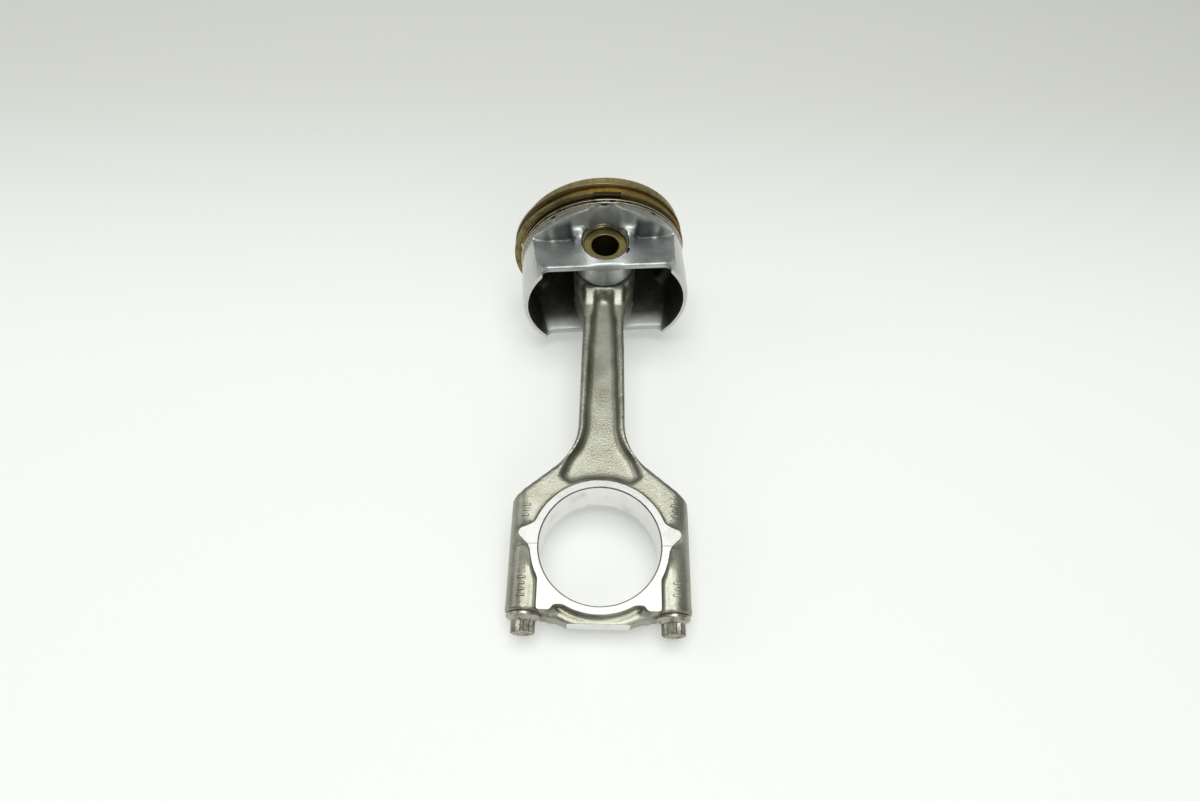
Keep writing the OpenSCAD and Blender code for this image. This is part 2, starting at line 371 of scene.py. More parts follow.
@dataclass(frozen=True)
class ForgedSteel:
    """Shot-blasted forging skin, darker in the hollows and speckled bright on its high faces, where rubbed metal
    is partly painted brighter as glints.

    Attributes:
        name: The material's name.
        dark: Colour of the scale in the hollows of the skin.
        skin: Colour of the blasted skin.
        painted_glint: Colour of the rubbed high spots, painted bright as glints.
        face: Height of the high faces above the middle, in millimetres.
        pit: How much of the dark colour is left in the pits of the high faces.
    """

    name: str = "forged_steel_skin"
    dark: Colour = (0.225, 0.220, 0.165)
    skin: Colour = (0.40, 0.405, 0.335)
    painted_glint: Colour = (0.72, 0.73, 0.66)
    face: float = 7.4
    pit: float = 0.35

    def build(self) -> bpy.types.Material:
        """Returns the material."""
        g = Graph(self.name)
        point = g.local(ROD)
        _, along, height = g.parts(point)
        cloud = g.noise(point, 0.09, 5.0)
        grain = g.noise(point, 1.3, 6.0, 0.65)
        dimple = g.dimples(point, 1.15)
        skin = g.mix((grain * 0.6 + cloud * 0.8).between(0.45, 0.95), self.dark, self.skin)
        high = abs(height).between(self.face - 0.6, self.face + 0.2) * along.between(31.0, 40.0)
        high = high * along.between(131.0, 121.0)
        pitted = high * g.noise(point, 1.6, 3.0, 0.7).between(0.50, 0.38)
        # Rubbed spots on the high faces: worn metal, also painted brighter as glints.
        rubbed = high * g.noise(point, 1.9, 3.0, 0.7).between(0.53, 0.66)
        scaled = g.mix(pitted * 0.75, skin, tuple(c * self.pit for c in self.dark))
        return g.finish({
            "Base Color": g.mix(rubbed * 0.8, scaled, self.painted_glint),
            "Roughness": 0.37 - rubbed * 0.12 + (cloud - 0.5) * 0.2,
            "Metallic": 0.9,
            "Normal": g.bump(dimple * 0.6 + grain * 0.4, 0.65, 0.13, 0.5),
        })


@dataclass(frozen=True)
class MachinedSteel:
    """Bright milled or honed steel with fine tool lines.

    Attributes:
        name: The material's name.
        bright: Main colour.
        stain: Colour of faint stains.
        lines: Stretch of the tool lines along each local axis.
    """

    name: str = "machined_steel"
    bright: Colour = (0.86, 0.865, 0.835)
    stain: Colour = (0.56, 0.55, 0.47)
    lines: Triple = (0.06, 2.6, 2.6)

    def build(self) -> bpy.types.Material:
        """Returns the material."""
        g = Graph(self.name)
        point = g.local(ROD)
        stretched = g.node("ShaderNodeMapping", {"vector_type": "POINT"},
                           {"Vector": point, "Scale": self.lines})
        tool = g.noise(stretched, 2.0, 3.0)
        cloud = g.noise(point, 0.11, 4.0)
        return g.finish({
            "Base Color": g.mix(cloud.between(0.50, 0.74) * 0.5, self.bright, self.stain),
            "Roughness": 0.24 + tool * 0.14,
            "Metallic": 0.9,
            "Normal": g.bump(tool, 0.25, 0.03, 0.2),
        })


@dataclass(frozen=True)
class CastAluminium:
    """As-cast piston aluminium: satin, slightly mottled, with a fine grain, and painted shade in the pockets under
    the ring belt beside the bosses.

    Attributes:
        name: The material's name.
        pale: Colour of clean metal.
        dull: Colour of oil-stained metal.
        gloss: Roughness of clean metal.
        pocket_shade: Colour of the painted shade in the pockets beside the bosses, under the ring belt.
    """

    name: str = "cast_aluminium_skin"
    pale: Colour = (0.47, 0.50, 0.485)
    dull: Colour = (0.27, 0.28, 0.25)
    gloss: float = 0.30
    pocket_shade: Colour = (0.040, 0.043, 0.040)

    def build(self) -> bpy.types.Material:
        """Returns the material."""
        g = Graph(self.name)
        point = g.local(PISTON)
        side, along, up = g.parts(point)
        cloud = g.noise(point, 0.12, 5.0, 0.6)
        grain = g.noise(point, 1.1, 5.0, 0.6)
        stain = cloud.between(0.42, 0.70)
        # Painted shade in the recesses under the ring belt beside the bosses.
        pocket_shade_mask = abs(side).between(15.5, 17.5) * abs(side).between(34.0, 25.0)
        pocket_shade_mask = pocket_shade_mask * along.between(5.0, 6.2) * (abs(up) + cloud * 4.0).between(42.0, 35.0)
        metal = g.mix(stain * 0.7, self.pale, self.dull)
        return g.finish({
            "Base Color": g.mix(pocket_shade_mask * 0.92, metal, self.pocket_shade),
            "Roughness": self.gloss + cloud * 0.18 + grain * 0.06,
            "Metallic": 0.92,
            "Normal": g.bump(grain, 0.45, 0.10, 0.7),
        })


@dataclass(frozen=True)
class ShadedCavity:
    """Inside of the piston, painted dark as shade, with a painted highlight at the lower lip of its side walls.

    Attributes:
        name: The material's name.
        dark: Painted shade colour deep inside.
        worn: Lighter colour mixed in at random patches.
        lip_highlight: Painted highlight colour at the lip.
    """

    name: str = "shaded_cavity"
    dark: Colour = (0.075, 0.078, 0.066)
    worn: Colour = (0.16, 0.155, 0.125)
    lip_highlight: Colour = (0.50, 0.52, 0.49)

    def build(self) -> bpy.types.Material:
        """Returns the material."""
        g = Graph(self.name)
        point = g.local(PISTON)
        side, along, _ = g.parts(point)
        cloud = g.noise(point, 0.13, 5.0, 0.6)
        grain = g.noise(point, 1.2, 5.0, 0.6)
        # Painted highlight on the lower lip of the side walls, where light from above falls.
        lip = (along + cloud * 6.0).between(-3.0, -12.0) * abs(side).between(36.0, 29.0)
        # The dark base is painted shade inside the cavity, with random lighter patches.
        base = g.mix((cloud + grain * 0.3).between(0.50, 0.85) * 0.6, self.dark, self.worn)
        return g.finish({
            "Base Color": g.mix(lip, base, self.lip_highlight),
            "Roughness": 0.36 + cloud * 0.15,
            "Metallic": 0.9,
            "Normal": g.bump(grain, 0.4, 0.10, 0.7),
        })


@dataclass(frozen=True)
class TurnedAluminium:
    """Turned skirt with fine lines round the piston and rubbed patches.

    Attributes:
        name: The material's name.
        pale: Colour of the turned metal.
        rubbed: Colour where the skirt ran against its cylinder.
    """

    name: str = "turned_skirt"
    pale: Colour = (0.58, 0.59, 0.555)
    rubbed: Colour = (0.40, 0.41, 0.37)

    def build(self) -> bpy.types.Material:
        """Returns the material."""
        g = Graph(self.name)
        point = g.local(PISTON)
        side, along, up = g.parts(point)
        lines = g.noise(g.vector(0.0, along, 0.0), 3.2, 2.0)
        scuff = g.noise(g.vector(side * 0.8, along * 0.08, up * 0.8), 0.9, 4.0)
        return g.finish({
            "Base Color": g.mix(scuff.between(0.5, 0.72) * 0.6, self.pale, self.rubbed),
            "Roughness": 0.20 + scuff * 0.16,
            "Metallic": 0.92,
            "Normal": g.bump(lines * 0.6 + scuff * 0.4, 0.25, 0.05, 0.25),
        })


@dataclass(frozen=True)
class BakedBelt:
    """Ring belt of the piston with baked oil varnish that deepens between the rings, and painted shade over some
    coke in the grooves and behind the second ring's gap.

    Attributes:
        name: The material's name.
        low: Height of the lowest land above the pin, in millimetres.
        high: Height of the crown above the pin, in millimetres.
        land_r: Radius of the lands, in millimetres.
        burn: Colour of the burnt streaks.
        coke_and_shade: Colour inside the grooves and behind the second ring's gap: coke darkened as painted shade.
        gap: The two sides and the middle height of the painted shade, over soot, behind the second ring's gap.
        bands: Colours from the lowest land to the crown.
    """

    name: str = "varnished_belt"
    low: float = 10.0
    high: float = 30.2
    land_r: float = 43.45
    burn: Colour = (0.055, 0.038, 0.014)
    coke_and_shade: Colour = (0.016, 0.012, 0.006)
    gap: Triple = (-6.8, 13.0, 17.6)
    bands: tuple[tuple[float, Colour], ...] = (
        (0.00, (0.42, 0.42, 0.36)),
        (0.11, (0.30, 0.27, 0.19)),
        (0.22, (0.045, 0.035, 0.015)),
        (0.30, (0.24, 0.19, 0.09)),
        (0.36, (0.05, 0.035, 0.012)),
        (0.40, (0.48, 0.33, 0.075)),
        (0.58, (0.34, 0.21, 0.035)),
        (0.66, (0.06, 0.035, 0.008)),
        (0.74, (0.34, 0.26, 0.09)),
        (1.00, (0.42, 0.34, 0.15)),
    )

    def build(self) -> bpy.types.Material:
        """Returns the material."""
        g = Graph(self.name)
        point = g.local(PISTON)
        side, along, up = g.parts(point)
        streak = g.noise(g.vector(side, along * 0.15, up), 0.55, 5.0, 0.6)
        cloud = g.noise(point, 0.16, 4.0)
        height = (along - self.low) / (self.high - self.low)
        band = g.ramp(height + (cloud - 0.5) * 0.05, self.bands)
        share = height.between(0.08, 0.35) * 0.6 + 0.1
        soiled = (streak * 0.6 + cloud * 0.5).between(0.50, 0.78) * share
        burnt = g.mix(soiled, band, self.burn)
        lines = g.noise(g.vector(0.0, along, 0.0), 2.8, 2.0)
        # Groove insides are painted dark: coke with painted shade.
        deep = g.radius(side, up).between(self.land_r - 0.15, self.land_r - 0.7)
        # Painted shade, over soot, on the land seen through the second ring's gap.
        gap = (side - self.gap[0]).between(0.0, 1.2) * (self.gap[1] - side).between(0.0, 1.2)
        gap = gap * up.between(25.0, 32.0) * abs(along - self.gap[2]).between(2.9, 2.3) * 0.9
        return g.finish({
            "Base Color": g.mix(g.math("MAXIMUM", deep, gap), burnt, self.coke_and_shade),
            "Roughness": 0.30 + streak * 0.28,
            "Metallic": 0.8,
            "Normal": g.bump(lines * 0.5 + streak * 0.5, 0.3, 0.06, 0.2),
        })


@dataclass(frozen=True)
class SootedCrown:
    """Crown with a thin baked carbon coat, thinner towards one side.

    Attributes:
        name: The material's name.
        soot: Colour of thick carbon.
        ash: Colour of the dusty thin coat.
        metal: Colour where the metal shows.
    """

    name: str = "sooted_crown"
    soot: Colour = (0.035, 0.028, 0.020)
    ash: Colour = (0.16, 0.125, 0.080)
    metal: Colour = (0.42, 0.39, 0.31)

    def build(self) -> bpy.types.Material:
        """Returns the material."""
        g = Graph(self.name)
        point = g.local(PISTON)
        side, _, up = g.parts(point)
        cloud = g.noise(point, 0.07, 6.0, 0.62)
        flake = g.noise(point, 0.8, 6.0, 0.7)
        rim = g.radius(side, up).between(30.0, 43.0)
        coat = g.mix((cloud + flake * 0.25).between(0.48, 0.76), self.soot, self.ash)
        bare = (flake * 0.5 + cloud * 0.5).between(0.60, 0.68) * (1.0 - rim * 0.6)
        return g.finish({
            "Base Color": g.mix(bare * 0.55, coat, self.metal),
            "Roughness": 0.80 - bare * 0.3 - rim * 0.1,
            "Metallic": bare * 0.7 + 0.1,
            "Normal": g.bump(flake * 0.6 + cloud * 0.4, 0.8, 0.16, 0.3),
        })


@dataclass(frozen=True)
class RingSteel:
    """Piston ring: worn bright outer face, varnished sides.

    Attributes:
        name: The material's name.
        face: Colour of the running face.
        side: Colour of the varnished sides.
        rim: Radius where the running face begins, in millimetres.
        gloss: Roughness of the running face.
        varnish: Colour of thick varnish.
    """

    name: str
    face: Colour
    side: Colour
    rim: float
    gloss: float = 0.28
    varnish: Colour = (0.10, 0.066, 0.022)

    def build(self) -> bpy.types.Material:
        """Returns the material."""
        g = Graph(self.name)
        point = g.local(PISTON)
        side, along, up = g.parts(point)
        streak = g.noise(g.vector(side, along * 0.3, up), 0.7, 5.0, 0.65)
        cloud = g.noise(point, 0.10, 4.0)
        out = g.radius(side, up).between(self.rim - 0.5, self.rim)
        base = g.mix(out * 0.85, self.side, self.face)
        return g.finish({
            "Base Color": g.mix((streak * 0.5 + cloud * 0.5).between(0.47, 0.66) * 0.75, base,
                                self.varnish),
            "Roughness": self.gloss + streak * 0.22,
            "Metallic": 0.88,
            "Normal": g.bump(streak, 0.4, 0.04, 0.2),
        })


@dataclass(frozen=True)
class OiledSteel:
    """Hard steel under a film of aged oil.

    Attributes:
        name: The material's name.
        metal: Colour of the steel.
        film: Colour of the thick film.
        place: Frame that the pattern follows.
        gloss: Roughness of the clean steel.
        cover: Share of the film, from 0 to 1.
    """

    name: str
    metal: Colour
    film: Colour
    place: Place
    gloss: float = 0.24
    cover: float = 0.6

    def build(self) -> bpy.types.Material:
        """Returns the material."""
        g = Graph(self.name)
        point = g.local(self.place)
        cloud = g.noise(point, 0.35, 5.0, 0.6)
        fine = g.noise(point, 2.4, 4.0)
        film = (cloud * 0.9 + fine * 0.1).between(0.62 - 0.3 * self.cover, 0.90 - 0.3 * self.cover)
        return g.finish({
            "Base Color": g.mix(film, self.metal, self.film),
            "Roughness": self.gloss + fine * 0.10 + film * 0.12,
            "Metallic": 0.85,
            "Normal": g.bump(fine, 0.3, 0.04, 0.25),
        })


@dataclass(frozen=True)
class PinSteel:
    """Ground piston pin with gold-brown oil varnish and a bore painted dark as shade over its oil film.

    Attributes:
        name: The material's name.
        ends: Colour of the varnished ends.
        ground: Colour of the ground outside.
        bore: Colour of the sooty bore.
        varnish: Colour of thick varnish.
        bore_r: Radius where the bore ends, in millimetres.
        pin_x: Offset of the pin from the piston's middle, in millimetres.
    """

    name: str = "varnished_pin"
    ends: Colour = (0.25, 0.20, 0.075)
    ground: Colour = (0.62, 0.60, 0.52)
    bore: Colour = (0.030, 0.026, 0.014)
    # bore: Colour inside the bore: its oil film darkened as painted shade.
    varnish: Colour = (0.14, 0.10, 0.035)
    bore_r: float = 7.1
    pin_x: float = 0.3

    def build(self) -> bpy.types.Material:
        """Returns the material."""
        g = Graph(self.name)
        point = g.local(PISTON)
        side, along, _ = g.parts(point)
        out = g.radius(side - self.pin_x, along)
        stain = g.noise(point, 0.5, 5.0, 0.6)
        fine = g.noise(point, 2.2, 4.0)
        shell = g.mix(out.between(10.6, 11.2), self.ends, self.ground)
        mottled = g.mix(stain.between(0.42, 0.70) * 0.6, shell, self.varnish)
        # The inside of the bore is painted near-black as shade.
        outside = out.between(self.bore_r - 0.2, self.bore_r + 0.1)
        return g.finish({
            "Base Color": g.mix(outside, self.bore, mottled),
            "Roughness": 0.26 + stain * 0.22,
            "Metallic": 0.85,
            "Normal": g.bump(fine, 0.3, 0.04, 0.3),
        })


@dataclass(frozen=True)
class PaperFloor:
    """Pale studio paper that glows with painted light, most strongly close to the object, which lifts its shadows.

    Attributes:
        name: The material's name.
        tone: Its colour.
        near: Painted glow of the paper close to the object.
        far: The same at its far end.
    """

    name: str = "studio_paper"
    tone: Colour = (0.62, 0.63, 0.615)
    near: Colour = (0.345, 0.350, 0.335)
    far: Colour = (0.150, 0.153, 0.115)

    def build(self) -> bpy.types.Material:
        """Returns the material."""
        g = Graph(self.name)
        point = g.node("ShaderNodeTexCoord", {}, {}, "Object")
        _, away, _ = g.parts(point)
        cloud = g.noise(point, 1.3, 3.0)
        return g.finish({
            "Base Color": g.mix(cloud, self.tone, tuple(c * 0.985 for c in self.tone)),
            "Roughness": 0.62 + cloud * 0.1,
            "Specular IOR Level": 0.3,
            # The paper's glow is painted light, brighter near the object to lift its shadows.
            "Emission Color": g.mix(away.between(0.10, 0.46), self.near, self.far),
            "Emission Strength": 1.0,
        })


class Slot(Enum):
    """Material slots of the record."""

    ALUMINIUM = "cast_aluminium"
    TOP_RING = "ring_steel"
    SECOND_RING = "ring_iron"
    PIN = "pin_steel"
    WIRE = "spring_wire"
    FORGING = "forged_steel"
    BUSH = "bush_bronze"
    BOLT = "bolt_steel"


# ---- workshop --------------------------------------------------------------


def is_sharp(edge: bmesh.types.BMEdge) -> bool:
    """Tells whether an edge is a real corner of the solid."""
    return edge.calc_face_angle(0.0) > SHARP


def publish(bm: bmesh.types.BMesh, name: str, place: Place,
            finishes: Sequence[bpy.types.Material]) -> bpy.types.Object:
    """Turns a mesh in local millimetres into a finished piece.

    Args:
        bm: The mesh; it is freed.
        name: The piece's name.
        place: The frame that the mesh is drawn in.
        finishes: Its materials, in the order of the faces' indices.

    Returns:
        The object, at the origin of the shared frame.
    """
    bm.normal_update()
    for edge in bm.edges:
        edge.smooth = not is_sharp(edge)
    for face in bm.faces:
        face.smooth = True
    bm.transform(place.matrix())
    data = bpy.data.meshes.new(name)
    bm.to_mesh(data)
    bm.free()
    for finish in finishes:
        data.materials.append(finish)
    piece = bpy.data.objects.new(name, data)
    bpy.context.scene.collection.objects.link(piece)
    return piece


def cad_stock(place: Place, *nodes: str) -> bmesh.types.BMesh:
    """Copies CAD nodes as one merged mesh.

    Args:
        place: The place whose millimetres the copy is in.
        nodes: The nodes' names.

    Returns:
        The mesh.
    """
    bm = bmesh.new()
    for node in nodes:
        bm.from_mesh(frame["nodes"][node].data)
    bmesh.ops.transform(bm, matrix=place.matrix().inverted(), verts=bm.verts)
    bmesh.ops.remove_doubles(bm, verts=bm.verts, dist=0.002)
    return bm


def settle(bm: bmesh.types.BMesh, prepare: Callable[[bpy.types.Object], None]) -> bmesh.types.BMesh:
    """Runs modifiers on a mesh and returns the result.

    Args:
        bm: The mesh; it is freed.
        prepare: Adds the modifiers to the object it is given.

    Returns:
        The new mesh.
    """
    data = bpy.data.meshes.new("work")
    bm.to_mesh(data)
    bm.free()
    work = bpy.data.objects.new("work", data)
    bpy.context.scene.collection.objects.link(work)
    prepare(work)
    result = bmesh.new()
    result.from_object(work, bpy.context.evaluated_depsgraph_get())
    bpy.data.objects.remove(work)
    bpy.data.meshes.remove(data)
    return result


def fuse(bm: bmesh.types.BMesh, cell: float) -> bmesh.types.BMesh:
    """Fuses overlapping stock into one skin of even faces.

    Args:
        bm: Closed solids in millimetres; it is freed.
        cell: Size of the skin's faces.

    Returns:
        The skin.
    """

    def remesh(work: bpy.types.Object) -> None:
        """Adds the fusing modifier."""
        step = work.modifiers.new("fuse", "REMESH")
        step.mode = "VOXEL"
        step.voxel_size = cell

    return settle(bm, remesh)


def relax(bm: bmesh.types.BMesh, verts: Iterable[bmesh.types.BMVert], passes: int) -> None:
    """Rounds edges and fills corners of a skin.

    Args:
        bm: The skin.
        verts: The points that may move.
        passes: How often they are smoothed.
    """
    moving = list(verts)
    for _ in range(passes):
        bmesh.ops.smooth_vert(bm, verts=moving, factor=0.5, use_axis_x=True, use_axis_y=True,
                              use_axis_z=True)


class Cut(Enum):
    """What a tool does to the stock."""

    REMOVE = "DIFFERENCE"
    KEEP_INSIDE = "INTERSECT"


def machine(bm: bmesh.types.BMesh, tool: bmesh.types.BMesh, cut: Cut) -> bmesh.types.BMesh:
    """Cuts stock with a tool.

    Args:
        bm: The stock; it is freed.
        tool: A closed solid; it is freed.
        cut: Whether the tool's space is taken away or kept.

    Returns:
        The machined stock.
    """
    bmesh.ops.recalc_face_normals(tool, faces=tool.faces)
    data = bpy.data.meshes.new("tool")
    tool.to_mesh(data)
    tool.free()
    cutter = bpy.data.objects.new("tool", data)
    bpy.context.scene.collection.objects.link(cutter)

    def add(work: bpy.types.Object) -> None:
        """Adds the cutting modifier.

        Args:
            work: The object that is cut.
        """
        step = work.modifiers.new("cut", "BOOLEAN")
        step.operation = cut.value
        step.solver = "MANIFOLD"
        step.object = cutter

    result = settle(bm, add)
    bpy.data.objects.remove(cutter)
    bpy.data.meshes.remove(data)
    return result


def lathe(profile: Sequence[tuple[float, float]], axis: Vector, steps: int = 192,
          closed: bool = False) -> bmesh.types.BMesh:
    """Turns a profile about an axis through the origin.

    Args:
        profile: Points as (radius, height along the axis).
        axis: The axis, local Y or Z.
        steps: Facets round it.
        closed: Whether the profile is a loop; otherwise it starts and ends on the axis.

    Returns:
        The closed solid.
    """
    bm = bmesh.new()
    verts = [bm.verts.new(Vector((r, 0, 0)) + axis * h) for r, h in profile]
    edges = [bm.edges.new(pair) for pair in zip(verts, verts[1:])]
    if closed:
        edges.append(bm.edges.new((verts[-1], verts[0])))
    bmesh.ops.spin(bm, geom=verts + edges, cent=(0, 0, 0), axis=axis, dvec=(0, 0, 0),
                   angle=math.tau, steps=steps, use_merge=True)
    bmesh.ops.remove_doubles(bm, verts=bm.verts, dist=0.001)
    bmesh.ops.recalc_face_normals(bm, faces=bm.faces)
    return bm


def block(low: Sequence[float], high: Sequence[float]) -> bmesh.types.BMesh:
    """Makes a box in millimetres.

    Args:
        low: Its lowest corner.
        high: Its highest corner.

    Returns:
        The box.
    """
    bm = bmesh.new()
    bmesh.ops.create_cube(bm, size=1.0)
    size = Vector(high) - Vector(low)
    middle = (Vector(high) + Vector(low)) / 2
    bmesh.ops.scale(bm, vec=size, verts=bm.verts)
    bmesh.ops.translate(bm, vec=middle, verts=bm.verts)
    return bm


def absorb(bm: bmesh.types.BMesh, other: bmesh.types.BMesh) -> None:
    """Adds another mesh to a mesh.

    Args:
        bm: The mesh that grows.
        other: The mesh that is added; it is freed.
    """
    data = bpy.data.meshes.new("part")
    other.to_mesh(data)
    other.free()
    bm.from_mesh(data)
    bpy.data.meshes.remove(data)


def paint(bm: bmesh.types.BMesh, zone: Callable[[Vector, Vector], int]) -> None:
    """Gives each face the material of its zone.

    Args:
        bm: The mesh in local millimetres.
        zone: Returns the material's index for a face's middle and normal.
    """
    bm.normal_update()
    for face in bm.faces:
        face.material_index = zone(face.calc_center_median(), face.normal)


def dress(node: str, finish: bpy.types.Material, slot: Slot) -> None:
    """Gives a CAD node that keeps its shape its finish.

    Args:
        node: The node's name.
        finish: Its material.
        slot: The record's slot that the finish comes from; not used.
    """
    part = frame["nodes"][node]
    part.data.materials.clear()
    part.data.materials.append(finish)
    LOG.info("%s: %d faces, exact shape", node, len(part.data.polygons))


def install(piece: bpy.types.Object, body: str, slot: Slot, *nodes: str) -> None:
    """Fixes a finished piece to its body.

    Args:
        piece: The piece.
        body: The body that it moves with.
        slot: The record's slot that its finish comes from; not used.
        nodes: The CAD nodes that it stands for.
    """
    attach(piece, body)
    if nodes:
        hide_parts(*nodes)
    LOG.info("%s: %d faces on %s", piece.name, len(piece.data.polygons), body)


# ---- connecting rod --------------------------------------------------------


@dataclass
class RodForging:
    """Connecting rod and its cap, forged as one and split at the big end. Millimetres.

    Attributes:
        centres: Big end bore to pin.
        bore_r: Big end bore radius.
        face_z: Half width of the machined faces.
        eye_r: Bore radius of the small end, under the bush.
        eye_z: Half width of the small end.
        pad_y: Lower end of the cap.
        bolt_x: Middle to each cap bolt.
        seat_y: Split line to bolt seat.
        stock: Extra metal left for machining.
        cell: Size of the skin's faces.
        passes: Smoothing of the skin.
        draft: Further smoothing of the shank's hollows.
        horn_y: Upper ends of the crescent under the machined ring.
        scoop_section: Radius and height of the corners of that crescent's section.
        plug: Radius and upper end of the metal that fills a bolt hole.
        hollow: Half width, lower end, upper end and half depth of the shank's hollows.
        pillar: Inner edge and upper end of the round outside of a bolt boss.
        flare: Inner edge, outer edges at both ends and half depth of the wedge beside the shank.
        ear: Inner edge, outer edges at both ends and height at its foot of the wedge on a flange.
        crack: Half width of the split line.
        skin: Finish of the forging skin.
        bright: Finish of the bored and filed faces.
        milled: Finish of the milled faces.
        chamfer_shade: Dark finish of the broken bore edges, painted shade.
    """

    centres: float = 154.0
    bore_r: float = 26.5
    face_z: float = 10.9
    eye_r: float = 12.68
    eye_z: float = 10.3
    pad_y: float = -32.6
    bolt_x: float = 31.9
    seat_y: float = -27.8
    stock: float = 0.9
    cell: float = 0.62
    passes: int = 7
    draft: int = 45
    horn_y: float = -26.0
    scoop_section: tuple[tuple[float, float], ...] = ((30.2, 5.0), (32.3, 5.0), (33.6, 14.0),
                                                      (30.0, 14.0))
    plug: tuple[float, float] = (5.2, 20.0)
    hollow: tuple[float, float, float, float] = (19.0, 31.0, 137.4, 6.9)
    pillar: tuple[float, float] = (30.0, 22.0)
    flare: tuple[float, float, float, float] = (6.0, 10.2, 15.9, 7.3)
    ear: tuple[float, float, float, float] = (4.4, 9.2, 10.6, 6.6)
    crack: float = 0.05
    skin: ForgedSteel = ForgedSteel()
    bright: MachinedSteel = MachinedSteel()
    milled: MachinedSteel = MachinedSteel("milled_steel", (0.325, 0.328, 0.312), (0.23, 0.23, 0.20))
    # The broken bore edges are painted dark as shade.
    chamfer_shade: MachinedSteel = MachinedSteel("shaded_bore_edge", (0.20, 0.20, 0.17),
                                           (0.12, 0.12, 0.09))

    def raw(self) -> bmesh.types.BMesh:
        """Returns the rough stock: fuller where it will be machined, with the bolt holes filled."""
        bm = cad_stock(ROD, "connecting_rod", "rod_cap")
        for vert in bm.verts:
            self._leave_stock(vert.co)
        radius, top = self.plug
        foot = self.seat_y + 0.2
        for side in (-1, 1):
            plug = lathe([(0, foot), (radius, foot), (radius, top), (0, top)],
                         Vector((0, 1, 0)), 32)
            bmesh.ops.translate(plug, vec=(side * self.bolt_x, 0, 0), verts=plug.verts)
            absorb(bm, plug)
        for x in (-1, 1):
            absorb(bm, self._flare(x))
            for z in (-1, 1):
                absorb(bm, self._ear(x, z))
        return bm

    def _flare(self, x: int) -> bmesh.types.BMesh:
        """Makes a wedge that widens the shank into the side of the small end.

        Args:
            x: 1 on the right, -1 on the left.

        Returns:
            The wedge.
        """
        low_y, high_y = self.centres - 33.0, self.centres - 10.0
        inner, narrow, wide, depth = self.flare
        bm = block((inner, low_y, -depth), (wide, high_y, depth))
        for vert in bm.verts:
            if vert.co.x > narrow and vert.co.y < low_y + 0.1:
                vert.co.x = narrow
        bmesh.ops.scale(bm, vec=(x, 1, 1), verts=bm.verts)
        bmesh.ops.recalc_face_normals(bm, faces=bm.faces)
        return bm

    def _ear(self, x: int, z: int) -> bmesh.types.BMesh:
        """Makes a wedge that carries a flange up to the face of the small end.

        Args:
            x: 1 on the right, -1 on the left.
            z: 1 above, -1 below.

        Returns:
            The wedge.
        """
        low_y, high_y = self.centres - 29.0, self.centres - 13.6
        top = self.eye_z + self.stock * 0.6
        inner, narrow, wide, foot = self.ear
        bm = block((inner, low_y, 4.0), (narrow, high_y, top))
        for vert in bm.verts:
            if vert.co.y < low_y + 0.1 and vert.co.z > foot:
                vert.co.z = foot
            if vert.co.y > high_y - 0.1 and vert.co.x > inner + 0.1:
                vert.co.x = wide
        bmesh.ops.scale(bm, vec=(x, 1, z), verts=bm.verts)
        bmesh.ops.recalc_face_normals(bm, faces=bm.faces)
        return bm

    def _leave_stock(self, point: Vector) -> None:
        """Moves a point of a machined surface out into the stock.

        Args:
            point: The point; it is moved in place.
        """
        if Vector((point.x, point.y)).length < self.bore_r + 0.7:
            point.xy = point.xy.normalized() * (self.bore_r - self.stock)
        eye = Vector((point.x, point.y - self.centres))
        if eye.length < self.eye_r + 0.1:
            eye = eye.normalized() * (self.eye_r - self.stock)
            point.x, point.y = eye.x, eye.y + self.centres
        if abs(point.z) > self.face_z - 0.6 and point.y < 60:
            point.z = math.copysign(self.face_z + self.stock, point.z)
        if point.y < self.pad_y + 0.1:
            point.y -= self.stock

    def scoop(self, side: int) -> bmesh.types.BMesh:
        """Returns the tool for the crescent under the machined ring, above (1) or below (-1)."""
        ring = lathe([(r, side * h) for r, h in self.scoop_section], Vector((0, 0, 1)), closed=True)
        return machine(ring, block((-60, -60, -20), (60, self.horn_y, 20)), Cut.KEEP_INSIDE)

    def in_hollow(self, vert: bmesh.types.BMVert) -> bool:
        """Tells whether a point lies in a hollow of the shank, below its high faces.

        Args:
            vert: The point.

        Returns:
            True if it does.
        """
        x, y, z = vert.co
        half, low, high, depth = self.hollow
        facing_in = vert.normal.x * math.copysign(1, x) < 0.3
        return low < y < high and abs(x) < half and abs(z) < depth and facing_in

    def on_pillar(self, vert: bmesh.types.BMVert) -> bool:
        """Tells whether a point lies on the round outside of a bolt boss, clear of its ends.

        Args:
            vert: The point.

        Returns:
            True if it does.
        """
        x, y, z = vert.co
        inner, top = self.pillar
        return abs(x) > inner and self.seat_y + 2.5 < y < top and abs(z) < self.face_z - 2.2

    def _bore_tool(self, radius: float, half: float, middle: float) -> bmesh.types.BMesh:
        """Makes a boring tool that also breaks the two edges of its bore.

        Args:
            radius: Radius of the bore.
            half: Half its length.
            middle: Place of its axis along the rod.

        Returns:
            The tool.
        """
        reach = half + 3.0
        lip = half - 0.5
        tool = lathe([(0, -reach), (radius + reach - lip, -reach), (radius, -lip),
                      (radius, lip), (radius + reach - lip, reach), (0, reach)], Vector((0, 0, 1)))
        bmesh.ops.translate(tool, vec=(0, middle, 0), verts=tool.verts)
        return tool

